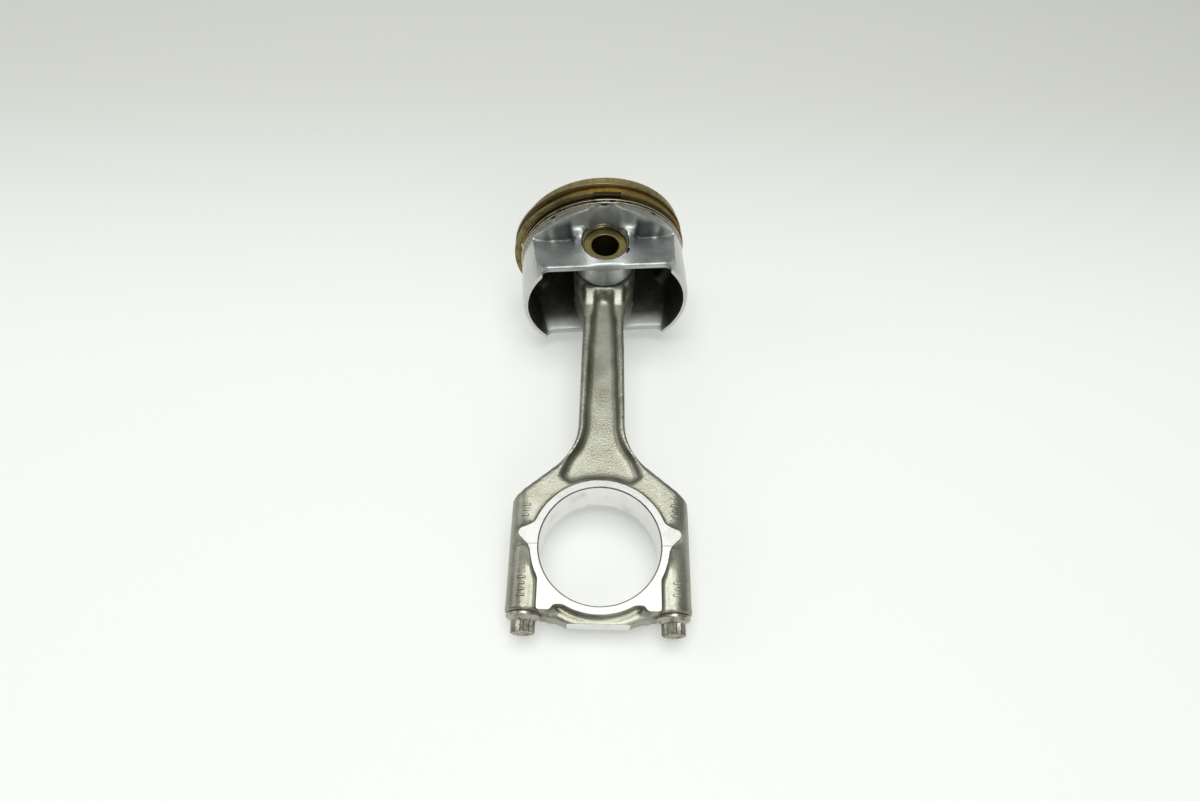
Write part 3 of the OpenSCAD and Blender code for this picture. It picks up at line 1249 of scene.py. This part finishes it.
    def machined(self) -> bmesh.types.BMesh:
        """Returns the forging with its machined faces cut."""
        bm = fuse(self.raw(), self.cell)
        for side in (-1, 1):
            bm = machine(bm, self.scoop(side), Cut.REMOVE)
        bm = fuse(bm, self.cell)
        relax(bm, bm.verts, self.passes)
        bm.normal_update()
        relax(bm, [v for v in bm.verts if self.in_hollow(v)], self.draft)
        relax(bm, [v for v in bm.verts if self.on_pillar(v)], self.draft)
        wide = 60.0
        for low, high in (((-wide, -wide, self.face_z), (wide, wide, 20.0)),
                          ((-wide, -wide, -20.0), (wide, wide, -self.face_z)),
                          ((-wide, 110.0, self.eye_z), (wide, 190.0, 20.0)),
                          ((-wide, 110.0, -20.0), (wide, 190.0, -self.eye_z)),
                          ((-wide, -wide, -20.0), (wide, self.pad_y, 20.0))):
            bm = machine(bm, block(low, high), Cut.REMOVE)
        bm = machine(bm, self._bore_tool(self.bore_r, self.face_z, 0.0), Cut.REMOVE)
        return machine(bm, self._bore_tool(self.eye_r, self.eye_z, self.centres), Cut.REMOVE)

    def zone(self, middle: Vector, normal: Vector) -> int:
        """Returns the finish of a face: 0 skin, 1 bored or filed, 2 broken edge in painted shade, 3 milled.

        Args:
            middle: The face's middle.
            normal: The face's normal.

        Returns:
            The index.
        """
        # Broken bore edges take the painted-shade finish.
        if middle.xy.length < self.bore_r + 0.6 and 0.4 < abs(normal.z) < 0.9:
            return 2
        mill = self.face_z if middle.y < 60 else self.eye_z
        if abs(middle.z) > mill - 0.02:
            return 3
        bore = middle.xy.length < self.bore_r + 0.6 and abs(normal.z) < 0.8
        eye = Vector((middle.x, middle.y - self.centres)).length < self.eye_r + 0.3
        end = middle.y < self.pad_y + 0.02
        return int(bore or eye or end)

    def build(self) -> list[bpy.types.Object]:
        """Builds rod and cap with their die marks and fixes them to the rod body.

        Returns:
            The four pieces.
        """
        finishes = [f.build() for f in (self.skin, self.bright, self.chamfer_shade, self.milled)]
        whole = self.machined()
        pieces = []
        for name, node, low, high in (("rod_forging", "connecting_rod", self.crack, 200.0),
                                      ("cap_forging", "rod_cap", -60.0, -self.crack)):
            half = machine(whole.copy(), block((-60, low, -30), (60, high, 30)), Cut.KEEP_INSIDE)
            paint(half, self.zone)
            piece = publish(half, name, ROD, finishes)
            install(piece, "rod", Slot.FORGING, node)
            pieces.append(piece)
        pieces += ForgeMarks().build(BVHTree.FromBMesh(whole))
        whole.free()
        return pieces


@dataclass
class ForgeMarks:
    """Plain raised bars and pips on the bolt bosses, where a forging carries its die marks.

    Attributes:
        relief: How far a bar stands proud, in millimetres.
        stroke: Width of a bar.
        pip_r: Radius of a pip.
        bars: Middle across and along the rod, and length, of each bar.
        pips: Place of the first pip across and along the rod.
        pitch: Distance between pips.
    """

    relief: float = 0.58
    stroke: float = 1.15
    pip_r: float = 0.5
    bars: tuple[Triple, ...] = (
        (-32.9, 18.9, 3.8), (-32.6, 16.5, 2.6), (-33.2, 14.1, 3.4),
        (33.2, 19.6, 3.4), (33.0, 17.2, 2.4), (33.3, 14.8, 3.6),
        (-33.2, -14.0, 3.8), (-32.9, -16.5, 2.6), (-33.1, -19.0, 3.2), (-33.2, -21.5, 3.8),
        (33.1, -15.4, 3.4), (33.4, -18.0, 2.6), (33.1, -20.6, 3.6),
    )
    pips: tuple[float, float] = (-36.2, -7.2)
    pitch: float = 1.4

    def seat(self, skin: BVHTree, x: float, y: float) -> Matrix:
        """Returns the place on the skin above a point, with Z out of the skin.

        Args:
            skin: The forging, in the rod's millimetres.
            x: The point's place across the rod.
            y: Its place along the rod.

        Returns:
            The matrix.
        """
        spot, normal, _, _ = skin.ray_cast(Vector((x, y, 40.0)), Vector((0, 0, -1)))
        lean = Vector((0, 0, 1)).rotation_difference(normal).to_matrix().to_4x4()
        return Matrix.Translation(spot) @ lean

    def bar(self, length: float) -> bmesh.types.BMesh:
        """Makes one raised bar with rounded edges, lying along X.

        Args:
            length: Its length.

        Returns:
            The bar.
        """
        bm = bmesh.new()
        bmesh.ops.create_cube(bm, size=1.0)
        bmesh.ops.scale(bm, vec=(length, self.stroke, 2 * self.relief), verts=bm.verts)
        bmesh.ops.bevel(bm, geom=bm.edges, offset=self.relief * 0.6, offset_type="OFFSET",
                        segments=3, profile=0.5, affect="EDGES", material=-1)
        return bm

    def pip(self) -> bmesh.types.BMesh:
        """Returns one small round pip."""
        bm = bmesh.new()
        bmesh.ops.create_uvsphere(bm, u_segments=10, v_segments=6, radius=self.pip_r)
        bmesh.ops.scale(bm, vec=(1, 1, 0.45), verts=bm.verts)
        return bm

    def build(self, skin: BVHTree) -> list[bpy.types.Object]:
        """Builds the marks of the rod and of the cap.

        Args:
            skin: The forging, in the rod's millimetres.

        Returns:
            The two pieces.
        """
        finish = ForgedSteel("die_mark_steel", (0.27, 0.265, 0.205), (0.50, 0.50, 0.42)).build()
        x0, y0 = self.pips
        grid = [(x0 + self.pitch * i, y0 - self.pitch * k)
                for i in range(4) for k in range(4) if (i * k) % 3 != 1]
        pieces = []
        for name, side in (("rod_die_marks", 1), ("cap_die_marks", -1)):
            bm = bmesh.new()
            for x, y, length in self.bars:
                if y * side > 0:
                    mark = self.bar(length)
                    bmesh.ops.transform(mark, matrix=self.seat(skin, x, y), verts=mark.verts)
                    absorb(bm, mark)
            for x, y in grid if side < 0 else []:
                mark = self.pip()
                bmesh.ops.transform(mark, matrix=self.seat(skin, x, y), verts=mark.verts)
                absorb(bm, mark)
            piece = publish(bm, name, ROD, [finish])
            install(piece, "rod", Slot.FORGING)
            pieces.append(piece)
        return pieces


@dataclass
class CapBolt:
    """Flange bolt with a twelve-point head. Millimetres.

    Attributes:
        side: -1 on the left, 1 on the right.
        bolt_x: Middle to the bolt.
        seat_y: Split line to bolt seat.
        flange_r: Radius of the flange.
        flange_h: Height of the flange.
        point_r: Radius over the points.
        notch_r: Radius between the points.
        head_h: Height of the head above the flange.
        shank_r: Radius of the shank.
        shank_end: End of the shank above the split line.
        bite: Chamfer of the shank and of the head, and depth of the dish in the head.
    """

    side: int
    bolt_x: float = 31.9
    seat_y: float = -27.8
    flange_r: float = 7.4
    flange_h: float = 2.0
    point_r: float = 5.15
    notch_r: float = 4.25
    head_h: float = 6.2
    shank_r: float = 4.0
    shank_end: float = 16.5
    bite: float = 0.5

    def flange(self) -> bmesh.types.BMesh:
        """Returns shank and flange, turned in one."""
        top = self.seat_y - self.flange_h
        return lathe([(0, self.shank_end), (self.shank_r - self.bite, self.shank_end),
                      (self.shank_r, self.shank_end - self.bite), (self.shank_r, self.seat_y),
                      (self.flange_r - 0.3, self.seat_y), (self.flange_r, self.seat_y - 0.3),
                      (self.flange_r, top + 0.6), (self.flange_r - 0.5, top + 0.1),
                      (self.point_r + 0.6, top - 0.5), (self.point_r - 0.1, top - 1.2),
                      (0, top - 1.2)], Vector((0, 1, 0)), 64)

    def head(self) -> bmesh.types.BMesh:
        """Returns the star-shaped head with a chamfered rim and a shallow dish."""
        bm = bmesh.new()
        bmesh.ops.create_circle(bm, cap_ends=True, segments=24, radius=self.point_r)
        for index, vert in enumerate(bm.verts):
            if index % 2:
                vert.co *= self.notch_r / self.point_r
        risen = bmesh.ops.extrude_face_region(bm, geom=bm.faces[:])["geom"]
        top_verts = [e for e in risen if isinstance(e, bmesh.types.BMVert)]
        bmesh.ops.translate(bm, vec=(0, 0, self.head_h), verts=top_verts)
        top = next(e for e in risen if isinstance(e, bmesh.types.BMFace))
        bmesh.ops.bevel(bm, geom=list(top.edges), offset=self.bite, offset_type="OFFSET",
                        segments=2, profile=0.5, affect="EDGES", material=-1)
        bm.faces.ensure_lookup_table()
        top = max(bm.faces, key=lambda f: f.calc_center_median().z)
        bmesh.ops.inset_region(bm, faces=[top], thickness=0.9, depth=0.0)
        bmesh.ops.translate(bm, vec=(0, 0, -self.bite), verts=top.verts)
        bmesh.ops.recalc_face_normals(bm, faces=bm.faces)
        outwards = Matrix.Translation((0, self.seat_y - self.flange_h, 0)) @ Matrix.Rotation(
            math.radians(90), 4, "X")
        bmesh.ops.transform(bm, matrix=outwards, verts=bm.verts)
        return bm

    def build(self, finish: bpy.types.Material) -> bpy.types.Object:
        """Builds the bolt and fixes it to the rod body.

        Args:
            finish: The bolt's material.

        Returns:
            The piece.
        """
        name = "left" if self.side < 0 else "right"
        bm = self.flange()
        absorb(bm, self.head())
        bmesh.ops.translate(bm, vec=(self.side * self.bolt_x, 0, 0), verts=bm.verts)
        piece = publish(bm, f"bolt_{name}", ROD, [finish])
        install(piece, "rod", Slot.BOLT, f"cap_bolt_{name}")
        return piece


# ---- piston ----------------------------------------------------------------


@dataclass
class PistonCasting:
    """Cast piston with turned lands, grooves and skirts and bored pin bosses. Millimetres.

    Attributes:
        crown_y: Pin axis to crown.
        skirt_y: Pin axis to the lower end of the skirt.
        land_r: Radius of the lands.
        root_r: Radius at the bottom of the grooves.
        skirt_r: Largest radius of the skirt.
        grooves: Upper edge and width of each ring groove.
        vee_y: Height of the small groove in the second land.
        pin_r: Radius of the pin bores.
        pin_x: Offset of the pin.
        boss_z: Middle to the outer face of a boss.
        clip_z: Middle to a circlip groove.
        clip_r: Radius to the bottom of a circlip groove.
        notch_turn: Direction of the circlip removal notch in degrees.
        belt_y: Lower end of the turned belt.
        groove_y: A level just under the lowest groove.
        boss_in: A level just inside the inner face of a boss.
        boss_r: Radius round the pin within which every surface belongs to its bore.
        wire: Radius of a circlip.
        roof: Height above the pin where the cavity beside a post starts.
        wall_y: Height above the pin where a side wall ends.
        reach: Distance from the pin beyond which a face between the walls is in the cavity.
        outer_wall: Inner edge, lower end, upper end, half width and least distance from the pin
            of the outside of a side wall.
        edge: Broken edge of the grooves.
        wall_z: Middle of a side wall at its upper end.
        wall_slope: How far the wall leans out per millimetre downwards.
        post_x: Half width of the boss and its posts below the belt.
        stock: Extra metal left for machining.
        cell: Size of the skin's faces.
        passes: Smoothing of the skin.
        blend: Further smoothing of the side walls round the bosses.
    """

    crown_y: float = 30.2
    skirt_y: float = -19.0
    land_r: float = 43.45
    root_r: float = 39.5
    skirt_r: float = 43.75
    grooves: tuple[tuple[float, float], ...] = ((14.5, 2.5), (17.2, 1.3), (24.2, 1.3))
    vee_y: float = 20.0
    pin_r: float = 11.28
    pin_x: float = 0.3
    boss_z: float = 29.4
    clip_z: float = 27.1
    clip_r: float = 12.33
    notch_turn: float = -31.0
    belt_y: float = 10.95
    groove_y: float = 11.9
    boss_in: float = 11.0
    boss_r: float = 13.65
    wire: float = 0.78
    roof: float = 8.7
    wall_y: float = 9.5
    reach: float = 16.5
    outer_wall: tuple[float, float, float, float, float] = (17.0, -14.5, 5.5, 37.0, 12.6)
    edge: float = 0.12
    wall_z: float = 20.6
    wall_slope: float = 0.27
    post_x: float = 16.8
    stock: float = 1.1
    cell: float = 0.68
    passes: int = 6
    blend: int = 300

    def raw(self) -> bmesh.types.BMesh:
        """Returns the rough casting: fuller on the turned and bored surfaces."""
        bm = cad_stock(PISTON, "piston")
        for vert in bm.verts:
            self._leave_stock(vert.co)
        return bm

    def _leave_stock(self, point: Vector) -> None:
        """Moves a point of a machined surface out into the stock.

        Args:
            point: The point; it is moved in place.
        """
        out = Vector((point.x, point.z))
        top = self.grooves[2][0] + 0.1
        in_groove = abs(out.length - self.root_r) < 0.1 and self.groove_y < point.y < top
        if out.length > self.land_r - 0.9 or in_groove:
            out = out.normalized() * (self.skirt_r + self.stock)
            point.x, point.z = out
        if point.y > self.crown_y - 0.7:
            point.y = self.crown_y + self.stock
        if point.y < self.skirt_y + 0.1:
            point.y = self.skirt_y - self.stock
        bore = Vector((point.x - self.pin_x, point.y))
        if bore.length < self.boss_r and self.boss_in < abs(point.z) < self.boss_z + 0.5:
            bore = bore.normalized() * (self.pin_r - self.stock)
            point.x, point.y = bore.x + self.pin_x, bore.y

    def on_wall(self, vert: bmesh.types.BMVert) -> bool:
        """Tells whether a point lies on the outside of a side wall, where it runs into its boss.

        Args:
            vert: The point.

        Returns:
            True if it does.
        """
        x, y, z = vert.co
        inner, low, high, half, clear = self.outer_wall
        outside = vert.normal.z * math.copysign(1, z) > 0.1 and abs(z) > inner
        beside = low < y < high and abs(x) < half
        return outside and beside and math.hypot(x - self.pin_x, y) > clear

    def turned(self) -> bmesh.types.BMesh:
        """Returns the space inside the turned outline, with every groove."""
        r = self.land_r
        outline = [(0, self.skirt_y), (self.skirt_r - 0.9, self.skirt_y),
                   (self.skirt_r - 0.15, self.skirt_y + 3), (self.skirt_r, -6),
                   (self.skirt_r - 0.1, 6), (r + 0.05, 10.9), (r, 11.0)]
        for top, width in self.grooves[:2]:
            outline += self._groove(top, width)
        outline += [(r, self.vee_y - 0.3), (r - 0.5, self.vee_y), (r, self.vee_y + 0.3)]
        outline += self._groove(*self.grooves[2])
        outline += [(r, self.crown_y - 0.6), (r - 0.6, self.crown_y), (0, self.crown_y)]
        return lathe(outline, Vector((0, 1, 0)), 288)

    def _groove(self, top: float, width: float) -> list[tuple[float, float]]:
        """Returns the outline of one ring groove with broken edges."""
        r, e, low = self.land_r, self.edge, top - width
        return [(r, low - e), (r - e, low), (self.root_r, low), (self.root_r, top), (r - e, top),
                (r, top + e)]

    def pin_tool(self, side: int) -> bmesh.types.BMesh:
        """Returns the tool for one pin bore with its circlip groove and relief.

        Args:
            side: 1 above, -1 below.

        Returns:
            The tool.
        """
        wire = self.wire
        relief = self.boss_z - 1.0
        arc = [(self.clip_r - wire + wire * math.cos(a), self.clip_z + wire * math.sin(a))
               for a in (math.radians(d) for d in range(-90, 91, 30))]
        profile = [(0, 5), (self.pin_r, 5), (self.pin_r, self.clip_z - wire), *arc,
                   (self.pin_r, self.clip_z + wire), (self.pin_r, relief),
                   (self.pin_r + 0.2, relief), (self.pin_r + 1.07, self.boss_z - 0.1),
                   (self.pin_r + 1.07, self.boss_z + 1.2), (0, self.boss_z + 1.2)]
        tool = lathe([(r, side * h) for r, h in profile], Vector((0, 0, 1)), 128)
        bmesh.ops.translate(tool, vec=(self.pin_x, 0, 0), verts=tool.verts)
        return tool

    def notch_tool(self, side: int) -> bmesh.types.BMesh:
        """Makes the tool for one circlip removal notch.

        Args:
            side: 1 above, -1 below.

        Returns:
            The tool.
        """
        depth = sorted((side * (self.clip_z - 1.1), side * (self.clip_z + 4.0)))
        tool = block((self.pin_r - 1.5, -1.8, depth[0]), (self.pin_r + 2.1, 1.8, depth[1]))
        turn = Matrix.Translation((self.pin_x, 0, 0)) @ Matrix.Rotation(
            math.radians(self.notch_turn), 4, "Z")
        bmesh.ops.transform(tool, matrix=turn, verts=tool.verts)
        return tool

    def zone(self, middle: Vector, normal: Vector) -> int:
        """Returns the finish of a face: 0 cast, 1 skirt, 2 belt, 3 crown, 4 bore, 5 cavity in painted shade.

        Args:
            middle: The face's middle.
            normal: The face's normal.

        Returns:
            The index.
        """
        out = Vector((middle.x, middle.z)).length
        bore = Vector((middle.x - self.pin_x, middle.y)).length
        if middle.y > self.crown_y - 0.05:
            return 3
        in_groove = middle.y > self.groove_y and out > self.root_r - 0.05
        if in_groove or (middle.y > self.belt_y and out > self.land_r - 0.8):
            return 2
        if middle.y < self.skirt_y + 0.02 or (out > self.land_r - 0.4 and abs(normal.y) < 0.5):
            return 1
        below_face = abs(middle.z) < self.clip_z + 1.0 or abs(normal.z) < 0.9
        in_boss = self.boss_in < abs(middle.z) < self.boss_z + 0.3
        if bore < self.clip_r + 0.1 and in_boss and below_face:
            return 4
        wall = self.wall_z + self.wall_slope * (self.wall_y - middle.y)
        # Faces behind the belt and inside the walls get the painted-shade cavity finish.
        behind = middle.y > self.roof and abs(middle.x) > self.post_x and out < self.root_r - 1.0
        within = bore > self.reach and abs(middle.z) < wall and out < self.land_r - 1.0
        return 5 if behind or within else 0

    def build(self) -> bpy.types.Object:
        """Builds the piston and fixes it to its body.

        Returns:
            The piece.
        """
        bm = fuse(self.raw(), self.cell)
        relax(bm, bm.verts, self.passes)
        bm.normal_update()
        relax(bm, [v for v in bm.verts if self.on_wall(v)], self.blend)
        bm = machine(bm, self.turned(), Cut.KEEP_INSIDE)
        for side in (-1, 1):
            bm = machine(bm, self.pin_tool(side), Cut.REMOVE)
            bm = machine(bm, self.notch_tool(side), Cut.REMOVE)
        paint(bm, self.zone)
        bored = OiledSteel("bored_aluminium", (0.20, 0.18, 0.11), (0.05, 0.043, 0.022), PISTON,
                           0.26, 0.5)
        finishes = [f.build() for f in (CastAluminium(), TurnedAluminium(), BakedBelt(),
                                        SootedCrown(), bored, ShadedCavity())]
        piece = publish(bm, "piston_casting", PISTON, finishes)
        install(piece, "piston", Slot.ALUMINIUM, "piston")
        return piece


@dataclass
class RingPack:
    """Finishes of the compression rings and of the three-piece oil ring."""

    def build(self) -> None:
        """Dresses every ring."""
        top = RingSteel("top_ring_steel", (0.34, 0.31, 0.21), (0.24, 0.18, 0.08), 45.0)
        second = RingSteel("second_ring_iron", (0.27, 0.235, 0.12), (0.22, 0.15, 0.045), 45.6,
                           0.34)
        rail = RingSteel("oil_rail_steel", (0.66, 0.65, 0.58), (0.34, 0.29, 0.17), 43.6, 0.22)
        mesh = OiledSteel("expander_steel", (0.34, 0.31, 0.22), (0.06, 0.045, 0.02), PISTON,
                          0.3, 0.7)
        dress("top_ring", top.build(), Slot.TOP_RING)
        dress("second_ring", second.build(), Slot.SECOND_RING)
        rail_steel = rail.build()
        dress("oil_rail_upper", rail_steel, Slot.TOP_RING)
        dress("oil_rail_lower", rail_steel, Slot.TOP_RING)
        dress("oil_expander", mesh.build(), Slot.TOP_RING)


@dataclass
class PinSet:
    """Finishes of the piston pin, its two circlips and the small end bush."""

    def build(self) -> None:
        """Dresses the four parts."""
        wire = OiledSteel("circlip_wire", (0.30, 0.28, 0.20), (0.06, 0.05, 0.025), PISTON,
                          0.16, 0.5)
        bronze = OiledSteel("bush_bronze", (0.70, 0.49, 0.20), (0.30, 0.19, 0.06), ROD,
                            0.24, 0.45)
        dress("piston_pin", PinSteel().build(), Slot.PIN)
        spring = wire.build()
        dress("circlip_upper", spring, Slot.WIRE)
        dress("circlip_lower", spring, Slot.WIRE)
        dress("small_end_bush", bronze.build(), Slot.BUSH)


# ---- studio ----------------------------------------------------------------


@dataclass(frozen=True)
class Softbox:
    """One large soft light. Metres.

    Attributes:
        name: The light's name.
        position: Where it hangs.
        target: What it faces.
        size: Its side.
        power: Its power in watts.
        tint: Its colour.
    """

    name: str
    position: Vector
    target: Vector
    size: float
    power: float
    tint: Colour = (1.0, 1.0, 0.985)

    def build(self) -> bpy.types.Object:
        """Hangs the light and returns it."""
        data = bpy.data.lights.new(self.name, "AREA")
        data.shape = "SQUARE"
        data.size = self.size
        data.energy = self.power
        data.color = self.tint
        lamp = bpy.data.objects.new(self.name, data)
        lamp.location = self.position
        lamp.rotation_euler = (self.target - self.position).to_track_quat("-Z", "Y").to_euler()
        bpy.context.scene.collection.objects.link(lamp)
        return lamp


@dataclass
class Studio:
    """Paper floor, soft light and the camera.

    Attributes:
        floor_side: Side of the paper in metres.
        eye: Camera position in the rod's frame, in millimetres.
        dive: How far the camera looks down on the rod, in degrees.
        yaw: Its turn about the bore axis, in degrees.
        roll: Its lean, in degrees.
        lens: Its focal length in millimetres, for a sensor 36 mm wide.
        sky: Colour of the room's even light.
        sky_power: Strength of that light.
    """

    floor_side: float = 40.0
    eye: Triple = (-3.45, -109.39, 331.84)
    dive: float = 60.63
    yaw: float = -0.75
    roll: float = 1.92
    lens: float = 23.2
    sky: Colour = (0.93, 0.97, 1.0)
    sky_power: float = 0.30

    def floor(self) -> bpy.types.Object:
        """Lays the paper under the lowest point."""
        bm = bmesh.new()
        bmesh.ops.create_grid(bm, x_segments=2, y_segments=2, size=self.floor_side / 2)
        bmesh.ops.translate(bm, vec=(0, 0, CAD_BOX[0][2]), verts=bm.verts)
        data = bpy.data.meshes.new("paper")
        bm.to_mesh(data)
        bm.free()
        data.materials.append(PaperFloor().build())
        paper = bpy.data.objects.new("paper", data)
        bpy.context.scene.collection.objects.link(paper)
        return paper

    def camera(self) -> bpy.types.Object:
        """Sets up the camera that looks down along the rod."""
        pitch = math.radians(self.dive)
        forward = Vector((0, math.cos(pitch), -math.sin(pitch)))
        level = Matrix((Vector((1, 0, 0)), Vector((1, 0, 0)).cross(forward), -forward)).transposed()
        turned = Matrix.Rotation(math.radians(self.yaw), 3, "Z") @ level
        leaned = turned @ Matrix.Rotation(math.radians(self.roll), 3, "Z")
        rod = Matrix((ROD.x, ROD.y, ROD.z)).transposed()
        data = bpy.data.cameras.new("camera")
        data.lens = self.lens
        data.sensor_width = 36.0
        data.clip_start = 0.01
        camera = bpy.data.objects.new("camera", data)
        place = Matrix.Translation(ROD.matrix() @ Vector(self.eye))
        camera.matrix_world = place @ (rod @ leaned).to_4x4()
        bpy.context.scene.collection.objects.link(camera)
        bpy.context.scene.camera = camera
        return camera

    def light(self) -> list[bpy.types.Object]:
        """Hangs the softboxes and sets the room's even light."""
        world = bpy.data.worlds.new("room")
        world.use_nodes = True
        room = world.node_tree.nodes["Background"]
        room.inputs["Color"].default_value = (*self.sky, 1.0)
        room.inputs["Strength"].default_value = self.sky_power
        bpy.context.scene.world = world
        aim = Vector((0, 0.07, 0))
        boxes = [Softbox("overhead", Vector((0.0, -0.05, 1.3)), aim, 0.9, 11.0),
                 Softbox("front", Vector((0.45, -1.2, 0.9)), aim, 0.8, 4.5),
                 Softbox("left", Vector((-1.3, 0.2, 0.8)), aim, 0.7, 2.5)]
        return [box.build() for box in boxes]

    def build(self) -> None:
        """Sets the whole studio."""
        self.floor()
        self.camera()
        self.light()
        bpy.context.scene.view_settings.view_transform = "Standard"


def main() -> None:
    """Builds every piece of the piston and its studio, in order."""
    logging.basicConfig(level=logging.INFO, format="%(name)s %(message)s")
    RodForging().build()
    bolt_finish = OiledSteel("bolt_steel", (0.40, 0.385, 0.32), (0.10, 0.085, 0.055), ROD, 0.2, 0.6)
    bolt_steel = bolt_finish.build()
    for side in (-1, 1):
        CapBolt(side).build(bolt_steel)
    PistonCasting().build()
    RingPack().build()
    PinSet().build()
    Studio().build()


if __name__ == "__main__":
    main()
